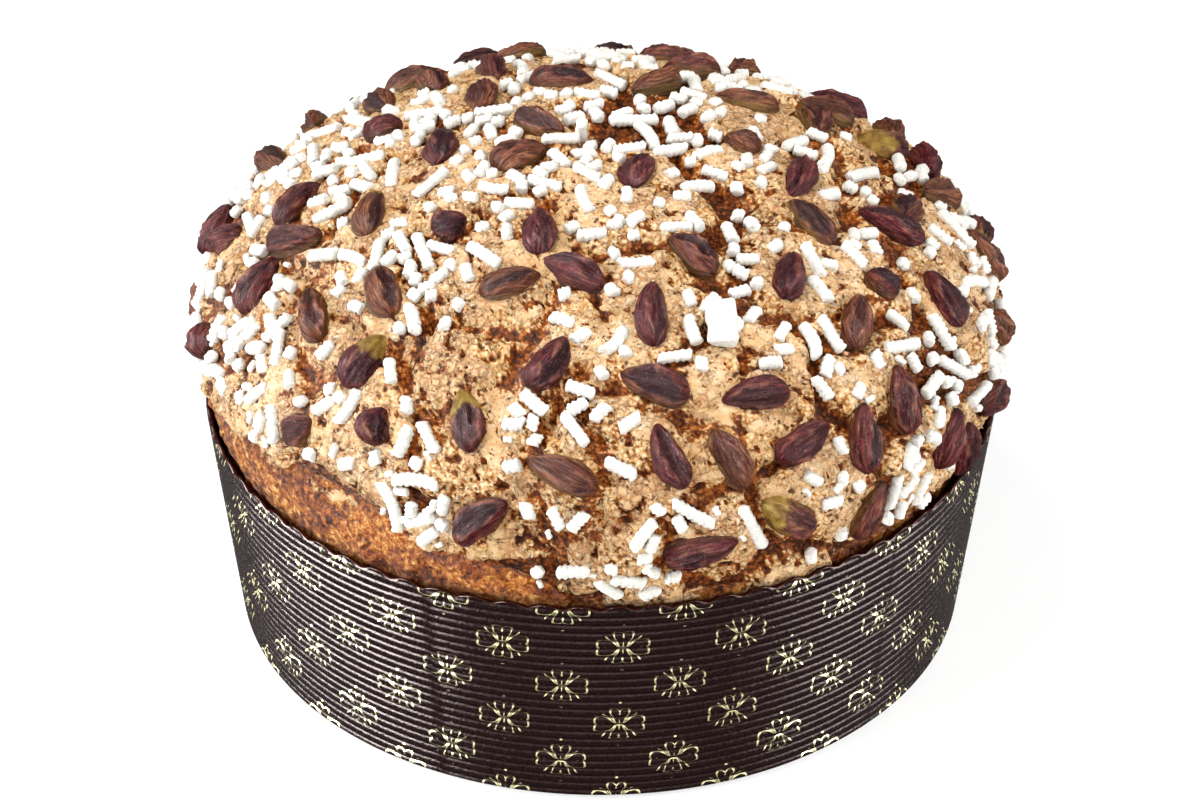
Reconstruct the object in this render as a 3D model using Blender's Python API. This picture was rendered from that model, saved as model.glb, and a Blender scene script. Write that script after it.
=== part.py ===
"""A low round festive loaf in its ribbed paper baking case.

The loaf domes out over the case's scalloped rim. A crackled almond glaze covers the dome, apart from
a bare stretch of crust low on one side, and pistachios and sugar sticks are half sunk in the glaze.
Metres, +Z up. The origin is the centre of the case's base, and the bare crust is towards -X and -Y.
"""

import math
import random

import bmesh
import bpy
from mathutils import Matrix, Vector, noise

MM = 0.001

# Paper case
RIM_RADIUS = 105.0 * MM
BASE_RADIUS = 98.3 * MM
CASE_HEIGHT = 65.0 * MM
BASE_ROUNDING = 1.5 * MM
PAPER = 0.8 * MM
SCALLOPS = 74
SCALLOP_HEIGHT = 0.7 * MM

# Dome: two half ellipses that meet at its widest level, with two fuller shoulders
DOME_RADIUS = 105.9 * MM
WIDEST_HEIGHT = 82.7 * MM
DOME_RISE = 54.5 * MM
SKIRT_RISE = 76.0 * MM
LEAN = 5.0 * MM
SHOULDER_PUSH = 2.6 * MM
SHOULDER_SPREAD = math.radians(15)
SHOULDER_LATITUDE = math.radians(20)
SHOULDER_AZIMUTHS = (math.radians(30), math.radians(160))

# Glaze: a skin on the dome, with crevices between its plates
GLAZE_THICKNESS = 4.0 * MM
CRUST_INSET = 1.8 * MM
CLEARANCE = 0.3 * MM
HIDDEN_EDGE_HEIGHT = 62.0 * MM
BARE_RISE = 20.0 * MM
BARE_AZIMUTH = math.radians(-138)
BARE_HALF_WIDTH = math.radians(44)
RAGGED_HEIGHT = 2.0 * MM
PLATE_SIZE = 36.0 * MM
WARP_SIZE = 21.0 * MM
WARP = 6.0 * MM
WARP_SEED = 1796051306
CREVICE_DEPTH = 2.6 * MM
CREVICE_WIDTH = 0.24
COBBLE_SIZE = 13.0 * MM
COBBLE_HEIGHT = 0.7 * MM

# Toppings
NUT_SEED = 33
NUT_COUNT = 94
NUT_LENGTH = (15.5 * MM, 18.5 * MM)
NUT_WIDTH = (8.8 * MM, 10.2 * MM)
NUT_HEIGHT = 4.0 * MM
NUT_SUNK = 2.0 * MM
BROKEN_SHARE = 0.1
BROKEN_LENGTH = 0.6
NUT_GAP = 9.4 * MM
NUT_SIDES = 7
CANDIDATES = 4
SUGAR_SEED = 5
SUGAR_COUNT = 640
SUGAR_FUSED = 96
SUGAR_RADIUS = (1.55 * MM, 1.8 * MM)
SUGAR_LENGTH = (3.0 * MM, 13.0 * MM)
SUGAR_SIDES = 6
SUGAR_RAISED = 0.3 * MM
CLUSTER_COUNT = 120
CLUSTER_SPREAD = 6.5 * MM
SINGLE_SHARE = 0.25
SPARSE_AZIMUTH = math.radians(-72)
SPARSE_LATITUDE = math.radians(25)
SPARSE_SPREAD = math.radians(32)
SUGAR_GAP = 2.9 * MM
RIM_MARGIN = 1.0 * MM

# Mesh density of the dome
COLUMNS = 64
OUTER_BANDS = ((0.55, 10), (0.83, 4), (0.94, 1))
INNER_BANDS = ((0.10, 1), (0.60, 4), (0.90, 2))


def start_empty():
    """Remove every object that the file already holds."""
    for old in list(bpy.data.objects):
        bpy.data.objects.remove(old, do_unlink=True)


def material(name, colour, roughness):
    """A plain Principled material."""
    made = bpy.data.materials.new(name)
    made.use_nodes = True
    shader = made.node_tree.nodes["Principled BSDF"]
    shader.inputs["Base Color"].default_value = (*colour, 1.0)
    shader.inputs["Roughness"].default_value = roughness
    shader.inputs["Metallic"].default_value = 0.0
    return made


def finished_object(name, shell, finish, collection=None):
    """Turn a closed bmesh into an object with its faces pointing out."""
    bmesh.ops.recalc_face_normals(shell, faces=shell.faces)
    mesh = bpy.data.meshes.new(name)
    shell.to_mesh(mesh)
    shell.free()
    made = bpy.data.objects.new(name, mesh)
    made.data.materials.append(finish)
    (collection or bpy.context.scene.collection).objects.link(made)
    return made


def add_ring(shell, points):
    """Add one closed ring of points."""
    return [shell.verts.new(point) for point in points]


def bridge(shell, lower, upper):
    """Join two rings of the same count, or a second one of half the count."""
    count = len(upper)
    if len(lower) == count:
        for i in range(count):
            j = (i + 1) % count
            shell.faces.new((lower[i], lower[j], upper[i]))
            shell.faces.new((lower[j], upper[j], upper[i]))
        return
    for i in range(count):
        left = lower[2 * i]
        middle = lower[2 * i + 1]
        right = lower[(2 * i + 2) % len(lower)]
        after = upper[(i + 1) % count]
        shell.faces.new((left, middle, upper[i]))
        shell.faces.new((middle, after, upper[i]))
        shell.faces.new((middle, right, after))


def close_with_point(shell, ring, point):
    """Close a ring with a fan around one point."""
    centre = shell.verts.new(point)
    for i, corner in enumerate(ring):
        shell.faces.new((corner, ring[(i + 1) % len(ring)], centre))


def circle(radius, height, count, wave=0.0):
    """Points of a level ring, every other one raised by a wave."""
    points = []
    for i in range(count):
        turn = math.tau * i / count
        level = height + wave * math.cos(math.pi * i)
        points.append(Vector((radius * math.cos(turn), radius * math.sin(turn), level)))
    return points


def case_radius(height):
    """Outer radius of the case, which flares a little towards its rim."""
    return BASE_RADIUS + (RIM_RADIUS - BASE_RADIUS) * height / CASE_HEIGHT


def shoulder(azimuth, latitude):
    """How far the dome swells beyond its ellipse."""
    swell = 0.0
    for centre in SHOULDER_AZIMUTHS:
        aside = math.remainder(azimuth - centre, math.tau) * math.cos(latitude)
        above = latitude - SHOULDER_LATITUDE
        swell += math.exp(-(aside ** 2 + above ** 2) / SHOULDER_SPREAD ** 2)
    return SHOULDER_PUSH * swell


def dome_point(azimuth, latitude, inset=0.0):
    """A point of the dome, or of the surface that lies inset below it."""
    rise = DOME_RISE - inset if latitude > 0 else SKIRT_RISE
    swell = shoulder(azimuth, latitude)
    radius = (DOME_RADIUS - inset + swell) * math.cos(latitude)
    height = WIDEST_HEIGHT + (rise + swell) * math.sin(latitude)
    share = max(0.0, height - WIDEST_HEIGHT) / DOME_RISE
    x = radius * math.cos(azimuth) - LEAN * share ** 2
    return Vector((x, radius * math.sin(azimuth), height))


def dome_frame(azimuth, latitude):
    """A point of the dome with its level tangent, uphill tangent and normal."""
    step = 0.01
    here = dome_point(azimuth, latitude)
    level = (dome_point(azimuth + step, latitude) - here).normalized()
    uphill = (dome_point(azimuth, latitude + step) - here).normalized()
    normal = level.cross(uphill).normalized()
    return here, level, normal.cross(level), normal


def latitude_at(height):
    """The dome's latitude at a height."""
    rise = DOME_RISE if height > WIDEST_HEIGHT else SKIRT_RISE
    return math.asin(max(-1.0, min(1.0, (height - WIDEST_HEIGHT) / rise)))


def edge_height(azimuth):
    """Height of the glaze's lower edge, hidden inside the rim except where the crust is bare."""
    aside = math.remainder(azimuth - BARE_AZIMUTH, math.tau) / BARE_HALF_WIDTH
    if abs(aside) >= 1.0:
        return HIDDEN_EDGE_HEIGHT
    bare = (1.0 - aside ** 2) ** 0.75
    ragged = noise.noise(Vector((9 * math.cos(azimuth), 9 * math.sin(azimuth), 0.5)))
    return HIDDEN_EDGE_HEIGHT + (BARE_RISE + RAGGED_HEIGHT * ragged) * bare


def relief(point):
    """Height of the glaze's crags above the smooth dome."""
    moved = point + noise.noise_vector(point / WARP_SIZE) * WARP
    near, next_near = noise.voronoi(moved / PLATE_SIZE)[0][:2]
    crevice = math.exp(-((next_near - near) / CREVICE_WIDTH) ** 2)
    cobble = noise.noise(point / COBBLE_SIZE)
    return COBBLE_HEIGHT * cobble - CREVICE_DEPTH * crevice


def glaze_point(azimuth, latitude):
    """A point of the crackled outer surface of the glaze."""
    here, level, uphill, normal = dome_frame(azimuth, latitude)
    return here + normal * relief(here)


def shared_latitude(azimuth, share):
    """Latitude at a share of the way from the glaze's edge to the top."""
    low = latitude_at(edge_height(azimuth))
    return low + share * (math.pi / 2 - low)


def dome_rings(shell, surface, bands, first):
    """Stack rings from the glaze's edge to the top, halving their points after each run of bands."""
    ring = first
    count = len(first)
    start = 0.0
    for end, steps in bands:
        for step in range(1, steps + 1):
            share = start + (end - start) * step / steps
            points = []
            for i in range(count):
                azimuth = math.tau * i / count
                points.append(surface(azimuth, shared_latitude(azimuth, share)))
            upper = add_ring(shell, points)
            bridge(shell, ring, upper)
            ring = upper
        start = end
        count //= 2
    close_with_point(shell, ring, surface(0.0, math.pi / 2))


def edge_points(surface):
    """The ring of points along the glaze's lower edge."""
    points = []
    for i in range(COLUMNS):
        azimuth = math.tau * i / COLUMNS
        points.append(surface(azimuth, shared_latitude(azimuth, 0.0)))
    return points


def make_case(finish):
    """The paper case: a cup with a rounded base edge and a scalloped rim."""
    shell = bmesh.new()
    rims = []
    for paper in (0.0, PAPER):
        rim = add_ring(shell, circle(case_radius(CASE_HEIGHT) - paper, CASE_HEIGHT,
                                     2 * SCALLOPS, SCALLOP_HEIGHT))
        foot = add_ring(shell, circle(case_radius(BASE_ROUNDING) - paper,
                                      BASE_ROUNDING + paper, SCALLOPS))
        floor = add_ring(shell, circle(case_radius(0.0) - paper - BASE_ROUNDING, paper, SCALLOPS))
        bridge(shell, rim, foot)
        bridge(shell, foot, floor)
        close_with_point(shell, floor, Vector((0.0, 0.0, paper)))
        rims.append(rim)
    bridge(shell, *rims)
    return finished_object("paper_case", shell, finish)


def crust_point(azimuth, height):
    """A point of the crust below the glaze, kept inside the case and a little inside the glaze's face."""
    inside_case = case_radius(min(height, CASE_HEIGHT)) - PAPER - CLEARANCE
    bulge = dome_point(azimuth, latitude_at(height), CRUST_INSET)
    radius = math.hypot(bulge.x, bulge.y)
    if height < CASE_HEIGHT:
        radius = min(radius, inside_case)
    return Vector((radius * math.cos(azimuth), radius * math.sin(azimuth), height))


def make_loaf(finish):
    """The baked loaf: it fills the case and carries the glaze on a shallow step."""
    shell = bmesh.new()
    bottom = PAPER + CLEARANCE
    corner = BASE_ROUNDING + CLEARANCE
    waist = 50.0 * MM
    beside_base = case_radius(corner) - PAPER - CLEARANCE
    beside_waist = case_radius(waist) - PAPER - CLEARANCE
    ring = first = add_ring(shell, circle(beside_base - corner, bottom, COLUMNS))
    for radius, height in ((beside_base, bottom + corner), (beside_waist, waist)):
        upper = add_ring(shell, circle(radius, height, COLUMNS))
        bridge(shell, ring, upper)
        ring = upper
    crust_bands = 3
    for step in range(1, crust_bands + 1):
        points = []
        for i in range(COLUMNS):
            azimuth = math.tau * i / COLUMNS
            top = edge_height(azimuth) - CLEARANCE
            points.append(crust_point(azimuth, waist + (top - waist) * step / crust_bands))
        upper = add_ring(shell, points)
        bridge(shell, ring, upper)
        ring = upper
    under_glaze = GLAZE_THICKNESS + CLEARANCE
    step_in = add_ring(shell, [p - Vector((0, 0, CLEARANCE)) for p in edge_points(
        lambda azimuth, latitude: dome_point(azimuth, latitude, under_glaze))])
    bridge(shell, ring, step_in)
    dome_rings(shell, lambda a, b: dome_point(a, b, under_glaze), INNER_BANDS, step_in)
    close_with_point(shell, first, Vector((0.0, 0.0, bottom)))
    return finished_object("loaf", shell, finish)


def make_glaze(finish):
    """The bare glaze skin, crackled outside and smooth inside."""
    shell = bmesh.new()
    outer = add_ring(shell, edge_points(glaze_point))
    inner = add_ring(shell, edge_points(lambda a, b: dome_point(a, b, GLAZE_THICKNESS)))
    bridge(shell, inner, outer)
    dome_rings(shell, glaze_point, OUTER_BANDS, outer)
    dome_rings(shell, lambda a, b: dome_point(a, b, GLAZE_THICKNESS), INNER_BANDS, inner)
    return finished_object("glaze", shell, finish)


def random_place(draw):
    """A random azimuth and latitude on the glaze, even by area."""
    while True:
        azimuth = draw.uniform(-math.pi, math.pi)
        height = draw.uniform(0.0, 1.0)
        low = latitude_at(edge_height(azimuth))
        latitude = low + height * (math.pi / 2 - low)
        slope = math.hypot(DOME_RADIUS * math.sin(latitude), DOME_RISE * math.cos(latitude))
        if draw.uniform(0.0, 1.0) < math.cos(latitude) * slope / DOME_RISE:
            return azimuth, latitude


class Topping:
    """One nut or sugar stick: where it lies, which way it points and how big it is."""

    def __init__(self, azimuth, latitude, heading, length, width):
        here, level, uphill, normal = dome_frame(azimuth, latitude)
        self.along = level * math.cos(heading) + uphill * math.sin(heading)
        self.across = normal.cross(self.along)
        self.normal = normal
        self.length = length
        self.width = width
        self.centre = here + normal * max(-0.5 * MM, min(0.6 * MM, relief(here)))
        half = max(0.0, length - width) / 2
        self.spine = [self.centre + self.along * half * share for share in (-1, -0.5, 0, 0.5, 1)]

    def distance(self, other):
        """The shortest distance between two spines, or between centres that are far apart."""
        apart = (self.centre - other.centre).length
        if apart > self.length + other.length:
            return apart
        return min((a - b).length for a in self.spine for b in other.spine)

    def clears_edge(self):
        """True where the whole piece lies on the glaze and above the case's rim."""
        reach = self.width / 2 + RIM_MARGIN
        rim = CASE_HEIGHT + SCALLOP_HEIGHT
        for point in (self.spine[0], self.spine[-1]):
            azimuth = math.atan2(point.y, point.x)
            if point.z - reach < max(rim, edge_height(azimuth)):
                return False
        return True

    def matrix(self):
        """The piece's own frame: x along it, y across it and z out of the glaze."""
        turn = Matrix((self.along, self.across, self.normal)).transposed().to_4x4()
        return Matrix.Translation(self.centre) @ turn


def scatter_nuts():
    """Spread the pistachios evenly over the glaze, each turned its own way."""
    draw = random.Random(NUT_SEED)
    nuts = []
    while len(nuts) < NUT_COUNT:
        best = None
        best_space = -1.0
        for attempt in range(CANDIDATES):
            azimuth, latitude = random_place(draw)
            length = draw.uniform(*NUT_LENGTH)
            if draw.uniform(0, 1) < BROKEN_SHARE:
                length *= BROKEN_LENGTH
            nut = Topping(azimuth, latitude, draw.uniform(0, math.pi),
                          length, draw.uniform(*NUT_WIDTH))
            space = min((nut.distance(other) for other in nuts), default=1.0)
            if nut.clears_edge() and space > NUT_GAP and space > best_space:
                best = nut
                best_space = space
        if best:
            nuts.append(best)
    return nuts


def is_sparse(azimuth, latitude, draw):
    """True for most places in the patch of glaze that carries little sugar."""
    aside = math.remainder(azimuth - SPARSE_AZIMUTH, math.tau) * math.cos(latitude)
    above = latitude - SPARSE_LATITUDE
    return draw.uniform(0, 1) < 0.8 * math.exp(-(aside ** 2 + above ** 2) / SPARSE_SPREAD ** 2)


def scatter_sugar(nuts):
    """Scatter the sugar sticks, most of them in clusters, clear of the nuts and of each other."""
    draw = random.Random(SUGAR_SEED)
    centres = [random_place(draw) for i in range(CLUSTER_COUNT)]
    sticks = []
    while len(sticks) < SUGAR_COUNT:
        azimuth, latitude = random_place(draw)
        if draw.uniform(0, 1) > SINGLE_SHARE:
            azimuth, latitude = draw.choice(centres)
            spread = CLUSTER_SPREAD / DOME_RADIUS
            azimuth += draw.gauss(0, spread) / max(0.2, math.cos(latitude))
            latitude = min(math.pi / 2, latitude + draw.gauss(0, 1.6 * spread))
        short = draw.uniform(0, 1) ** 1.7
        length = SUGAR_LENGTH[0] + (SUGAR_LENGTH[1] - SUGAR_LENGTH[0]) * short
        stick = Topping(azimuth, latitude, draw.uniform(0, math.pi), length,
                        2 * draw.uniform(*SUGAR_RADIUS))
        if not stick.clears_edge() or is_sparse(azimuth, latitude, draw):
            continue
        if any(stick.distance(nut) < (nut.width + stick.width) / 2 for nut in nuts):
            continue
        if any(stick.distance(other) < SUGAR_GAP for other in sticks):
            continue
        sticks.append(stick)
    return sticks


def nut_object(number, nut, finish, collection):
    """A pistachio's upper part: a pointed oval that swells and closes with a flat top."""
    shell = bmesh.new()
    levels = ((-NUT_SUNK, 0.86), (0.12 * NUT_HEIGHT, 1.0), (NUT_HEIGHT, 0.48))
    ring = None
    first = None
    for height, scale in levels:
        points = []
        for i in range(NUT_SIDES):
            turn = math.tau * i / NUT_SIDES
            x = scale * nut.length / 2 * math.cos(turn)
            y = scale * nut.width / 2 * math.sin(turn) * (1 - 0.15 * math.cos(turn))
            points.append(nut.matrix() @ Vector((x, y, height)))
        upper = add_ring(shell, points)
        if ring:
            bridge(shell, ring, upper)
        first = first or upper
        ring = upper
    shell.faces.new(first[::-1])
    shell.faces.new(ring)
    return finished_object(f"nut_{number}", shell, finish, collection)


def stick_object(number, stick, finish, collection):
    """A sugar stick: a short prism lying on the glaze."""
    shell = bmesh.new()
    ends = []
    for x in (-stick.length / 2, stick.length / 2):
        points = []
        for i in range(SUGAR_SIDES):
            turn = math.tau * (i + 0.5) / SUGAR_SIDES
            y = stick.width / 2 * math.cos(turn)
            z = SUGAR_RAISED + stick.width / 2 * math.sin(turn)
            points.append(stick.matrix() @ Vector((x, y, z)))
        ends.append(add_ring(shell, points))
    bridge(shell, ends[0], ends[1])
    shell.faces.new(ends[0][::-1])
    shell.faces.new(ends[1])
    return finished_object(f"stick_{number}", shell, finish, collection)


def keep_largest_shell(mesh):
    """Drop loose scraps and the walls of sealed hollows, which are shells of their own."""
    shell = bmesh.new()
    shell.from_mesh(mesh)
    groups = []
    seen = set()
    for start in shell.verts:
        if start in seen:
            continue
        seen.add(start)
        group = [start]
        for vert in group:
            for edge in vert.link_edges:
                other = edge.other_vert(vert)
                if other not in seen:
                    seen.add(other)
                    group.append(other)
        groups.append(group)
    groups.sort(key=len)
    for group in groups[:-1]:
        bmesh.ops.delete(shell, geom=group, context="VERTS")
    shell.to_mesh(mesh)
    shell.free()


def fuse(base, collection):
    """Join everything in a collection to the base by one Boolean union, and remove the collection."""
    union = base.modifiers.new("toppings", "BOOLEAN")
    union.operation = "UNION"
    union.solver = "EXACT"
    union.operand_type = "COLLECTION"
    union.collection = collection
    depsgraph = bpy.context.evaluated_depsgraph_get()
    joined = bpy.data.meshes.new_from_object(base.evaluated_get(depsgraph))
    base.modifiers.clear()
    base.data = joined
    keep_largest_shell(base.data)
    for piece in list(collection.objects):
        bpy.data.objects.remove(piece, do_unlink=True)
    bpy.data.collections.remove(collection)


def build():
    """Make the case, the loaf and the glaze with its toppings."""
    start_empty()
    noise.seed_set(WARP_SEED)
    make_case(material("case paper", (0.022, 0.012, 0.013), 0.45))
    make_loaf(material("baked crust", (0.50, 0.21, 0.06), 0.75))
    almond = material("almond glaze", (0.66, 0.42, 0.22), 0.85)
    glaze = make_glaze(almond)
    toppings = bpy.data.collections.new("toppings")
    bpy.context.scene.collection.children.link(toppings)
    nuts = scatter_nuts()
    sticks = sorted(scatter_sugar(nuts), key=lambda stick: -stick.length)
    for number, nut in enumerate(nuts):
        nut_object(number, nut, almond, toppings)
    for number, stick in enumerate(sticks[:SUGAR_FUSED]):
        stick_object(number, stick, almond, toppings)
    fuse(glaze, toppings)


build()
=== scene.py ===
import math
import random
from math import radians

import bpy
import numpy as np
from mathutils import Euler, Matrix, Vector, kdtree, noise


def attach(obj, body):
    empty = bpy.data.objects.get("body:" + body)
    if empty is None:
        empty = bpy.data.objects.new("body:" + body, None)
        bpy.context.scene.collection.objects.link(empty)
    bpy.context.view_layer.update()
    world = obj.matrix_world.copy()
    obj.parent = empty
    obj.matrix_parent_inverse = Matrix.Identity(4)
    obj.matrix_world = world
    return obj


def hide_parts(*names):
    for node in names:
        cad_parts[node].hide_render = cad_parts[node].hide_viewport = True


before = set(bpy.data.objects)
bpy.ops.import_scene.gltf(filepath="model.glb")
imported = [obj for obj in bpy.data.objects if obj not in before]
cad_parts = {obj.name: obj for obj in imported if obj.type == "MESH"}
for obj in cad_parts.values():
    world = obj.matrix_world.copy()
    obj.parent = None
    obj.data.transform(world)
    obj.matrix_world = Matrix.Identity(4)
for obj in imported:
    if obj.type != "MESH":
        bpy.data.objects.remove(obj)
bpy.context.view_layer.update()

MM = 0.001

# Camera, measured from the view: distance, height of the aim point, tilt and lens
CAMERA_DISTANCE = 0.900
AIM_HEIGHT = 0.05588
CAMERA_ELEVATION = radians(33.58)
CAMERA_LENS = 100.76
SENSOR_WIDTH = 36.0
LIT_HEIGHT = 0.06

# Paper case, the same sizes as the solid
RIM_RADIUS = 105.0 * MM
BASE_RADIUS = 98.3 * MM
CASE_HEIGHT = 65.0 * MM
BASE_ROUNDING = 1.5 * MM
PAPER = 0.8 * MM
SCALLOPS = 74
SCALLOP_HEIGHT = 0.7 * MM
CLEARANCE = 0.3 * MM
CASE_COLUMNS = 6 * SCALLOPS
CASE_BACK_RINGS = 22
SCALLOP_REACH = 3.0 * MM
WALL_WANDER = 0.25 * MM
RIB_PITCH = 2.57 * MM
RIB_DEPTH = 0.6 * MM
RIB_STEPS = 7
RIB_TOP = 63.5 * MM
SEAM_AZIMUTHS = (radians(-114.3), radians(-45.3))
SEAM_STEP = 0.06 * MM
SEAM_SHIFT = 0.22 * RIB_PITCH
SEAM_FADE = radians(14)

# Gold print
MOTIF_COLUMNS = 22
MOTIF_ROW_PITCH = 13.0 * MM
MOTIF_TOP_ROW = 65.3 * MM
MOTIF_ROWS = 6
MOTIF_AZIMUTH = radians(-86.7)
MOTIF_SKEW = radians(-1.0) / CASE_HEIGHT
PRINT_LIFT = 0.08 * MM
PRINT_STEP = 0.45 * MM
PRINT_MARGIN = 0.15 * MM

# Strokes of the flower in millimetres: a width, then x and y of each point
QUARTER_STROKES = (
    (0.27, (0.9, 0.35, 2.0, 1.35, 3.0, 2.1, 4.4, 2.45, 5.8, 2.4)),
    (0.50, (5.3, 2.45, 6.2, 2.15, 6.45, 1.3, 6.25, 0.45, 5.8, 0.02)),
    (0.27, (0.8, 0.5, 1.5, 1.9, 2.1, 3.2, 2.4, 4.3)),
    (0.56, (2.35, 3.9, 2.45, 4.8, 1.8, 5.2)),
    (0.24, (1.8, 5.2, 0.9, 5.15, 0.3, 4.75, 0.0, 4.45)),
    (0.24, (1.1, 0.45, 2.3, 1.7, 3.4, 2.8, 4.3, 3.8)),
    (0.36, (3.5, 2.95, 4.5, 3.95)),
    (0.20, (0.9, 0.6, 1.8, 1.75, 2.6, 2.6)))
MIDDLE_STROKES = (
    (0.95, (-0.28, 3.75, 0.28, 3.75)),
    (0.36, (0.0, 4.1, 0.0, 4.6)),
    (0.28, (-1.0, 0.4, 1.0, 0.4)),
    (0.30, (0.0, 0.4, 0.0, 1.75)),
    (0.50, (-0.42, 7.3, 0.42, 7.3)))
SIDE_STROKE = (0.32, (4.1, 0.0, 4.8, 0.0))

# Dome, the same surface as the solid
DOME_RADIUS = 105.9 * MM
WIDEST_HEIGHT = 82.7 * MM
DOME_RISE = 54.5 * MM
SKIRT_RISE = 76.0 * MM
LEAN = 5.0 * MM
SHOULDER_PUSH = 2.6 * MM
SHOULDER_SPREAD = radians(15)
SHOULDER_LATITUDE = radians(20)
SHOULDER_AZIMUTHS = (radians(30), radians(160))
GLAZE_THICKNESS = 4.0 * MM
CRUST_INSET = 1.8 * MM
RIM_INSET = 0.6 * MM
HIDDEN_EDGE_HEIGHT = 62.0 * MM
BARE_RISE = 20.0 * MM
BARE_AZIMUTH = radians(-138)
BARE_HALF_WIDTH = radians(44)
RAGGED_HEIGHT = 2.0 * MM
PLATE_SIZE = 36.0 * MM
WARP_SIZE = 21.0 * MM
WARP = 6.0 * MM
WARP_SEED = 1796051306
CREVICE_DEPTH = 2.6 * MM
CREVICE_WIDTH = 0.24
COBBLE_SIZE = 13.0 * MM
COBBLE_HEIGHT = 0.7 * MM

# Glaze detail, finer than the solid
DEEPEST = -3.5 * MM
CRACK_WIDTH = 0.085
CRACK_DEPTH = 3.0 * MM
LIP_HEIGHT = 1.5 * MM
SMALL_PLATE_SIZE = 13.0 * MM
SMALL_CRACK_WIDTH = 0.09
SMALL_CRACK_DEPTH = 1.2 * MM
TORN_SIZE = 45.0 * MM
RAGGED_SIZE = 4.5 * MM
ROUGH_SIZE = 2.6 * MM
ROUGH_HEIGHT = 0.38 * MM
SWELL_SIZE = 6.5 * MM
SWELL_HEIGHT = 0.6 * MM
CRUMB_SIZE = 11.0 * MM
CRUMB_HEIGHT = 1.1 * MM
CRUMB_SINK = 0.6 * MM
FLAKE_HEIGHT = 0.35 * MM
PIT_SIZE = 3.2 * MM
PIT_DEPTH = 1.2 * MM
COLLAR_HEIGHT = 0.4 * MM
EDGE_ROLL = 1.3 * MM
EDGE_LIP_HEIGHT = 0.7 * MM
HOLLOW_DEPTH = 3.4 * MM
HOLLOW_AZIMUTH = radians(-97)
HOLLOW_HEIGHT = 74.5 * MM
HOLLOW_HALF_WIDTH = 12.0 * MM
HOLLOW_HALF_RISE = 4.0 * MM

# Toppings, scattered by the same rule as in the solid
NUT_SEED = 33
NUT_COUNT = 94
NUT_LENGTH = (15.5 * MM, 18.5 * MM)
NUT_WIDTH = (8.8 * MM, 10.2 * MM)
NUT_HEIGHT = 4.0 * MM
BROKEN_SHARE = 0.1
BROKEN_LENGTH = 0.6
NUT_GAP = 9.4 * MM
CANDIDATES = 4
SUGAR_SEED = 5
SUGAR_COUNT = 640
SUGAR_RADIUS = (1.55 * MM, 1.8 * MM)
SUGAR_LENGTH = (3.0 * MM, 13.0 * MM)
SUGAR_RAISED = 0.3 * MM
CLUSTER_COUNT = 120
CLUSTER_SPREAD = 6.5 * MM
SINGLE_SHARE = 0.25
SPARSE_AZIMUTH = radians(-72)
SPARSE_LATITUDE = radians(25)
SPARSE_SPREAD = radians(32)
SUGAR_GAP = 2.9 * MM
CRUMB_SHARE = 0.55
SLAB_AZIMUTH = radians(-64.5)
SLAB_LATITUDE = radians(46)
SLAB_HEADING = radians(69)
SLAB_LENGTH = 13.0 * MM
SLAB_WIDTH = 7.6 * MM
SLAB_THICKNESS = 3.0 * MM
SLAB_RAISED = 1.6 * MM
SLAB_SIDES = 28
RIM_MARGIN = 1.0 * MM

# Crust
LOAF_COLUMNS = 540
LOAF_RINGS = 44
LOAF_WAIST = 40.0 * MM
BUMP_SIZE = 5.0 * MM
BUMP_HEIGHT = 1.5 * MM
BROAD_BUMP_SIZE = 14.0 * MM
BROAD_BUMP_HEIGHT = 0.8 * MM

# Fine grids
GLAZE_COLUMNS = 720
GLAZE_BANDS = ((0.55, 88), (0.82, 42), (0.93, 16), (0.98, 6))
GLAZE_BACK_BANDS = ((0.01, 1), (0.03, 1), (0.07, 1), (0.15, 1), (0.75, 5))
NUT_RINGS = 26
NUT_SIDES = 30
STICK_SIDES = 10


def smooth(value, low, high):
    """Rise smoothly from 0 at low to 1 at high."""
    share = np.clip((value - low) / (high - low), 0.0, 1.0)
    return share * share * (3 - 2 * share)


def bell(value, width, power=2):
    """1 where the value is nought, falling to 0 on both sides over a width."""
    return np.exp(-(value / width) ** power)


def even_azimuths(count):
    """Azimuths evenly spaced around a full turn."""
    return np.arange(count) * math.tau / count


def noise_at(points, size, octaves=1, shift=0.0):
    """Smooth noise at each point, of features about the given size."""
    offset = Vector((shift, -shift, 0.7 * shift))
    if octaves == 1:
        return np.array([noise.noise(Vector(p) / size + offset) for p in points])
    return np.array([noise.fractal(Vector(p) / size + offset, 0.8, 2.0, octaves) for p in points])


def cell_edge(points, size):
    """Distance to the nearest border between cells, nought on the border."""
    found = [noise.voronoi(Vector(p) / size)[0] for p in points]
    return np.array([near[1] - near[0] for near in found])


def warped(points):
    """The points moved about, so that borders between cells meander."""
    return np.array([Vector(p) + noise.noise_vector(Vector(p) / WARP_SIZE) * WARP for p in points])


# Shapes shared with the solid


def case_radius(height):
    """Outer radius of the case, which flares a little towards its rim."""
    return BASE_RADIUS + (RIM_RADIUS - BASE_RADIUS) * height / CASE_HEIGHT


def wrapped(angle):
    """An angle brought within half a turn of nought."""
    return (angle + math.pi) % math.tau - math.pi


def dome_points(azimuth, latitude, inset=0.0):
    """Points of the dome, or of the surface that lies inset below it."""
    swell = 0.0
    for centre in SHOULDER_AZIMUTHS:
        aside = wrapped(azimuth - centre) * np.cos(latitude)
        above = latitude - SHOULDER_LATITUDE
        swell = swell + np.exp(-(aside ** 2 + above ** 2) / SHOULDER_SPREAD ** 2)
    swell = SHOULDER_PUSH * swell
    rise = np.where(latitude > 0, DOME_RISE - inset, SKIRT_RISE)
    radius = (DOME_RADIUS - inset + swell) * np.cos(latitude)
    height = WIDEST_HEIGHT + (rise + swell) * np.sin(latitude)
    share = np.maximum(0.0, height - WIDEST_HEIGHT) / DOME_RISE
    x = radius * np.cos(azimuth) - LEAN * share ** 2
    return np.stack([x, radius * np.sin(azimuth), height], -1)


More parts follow.
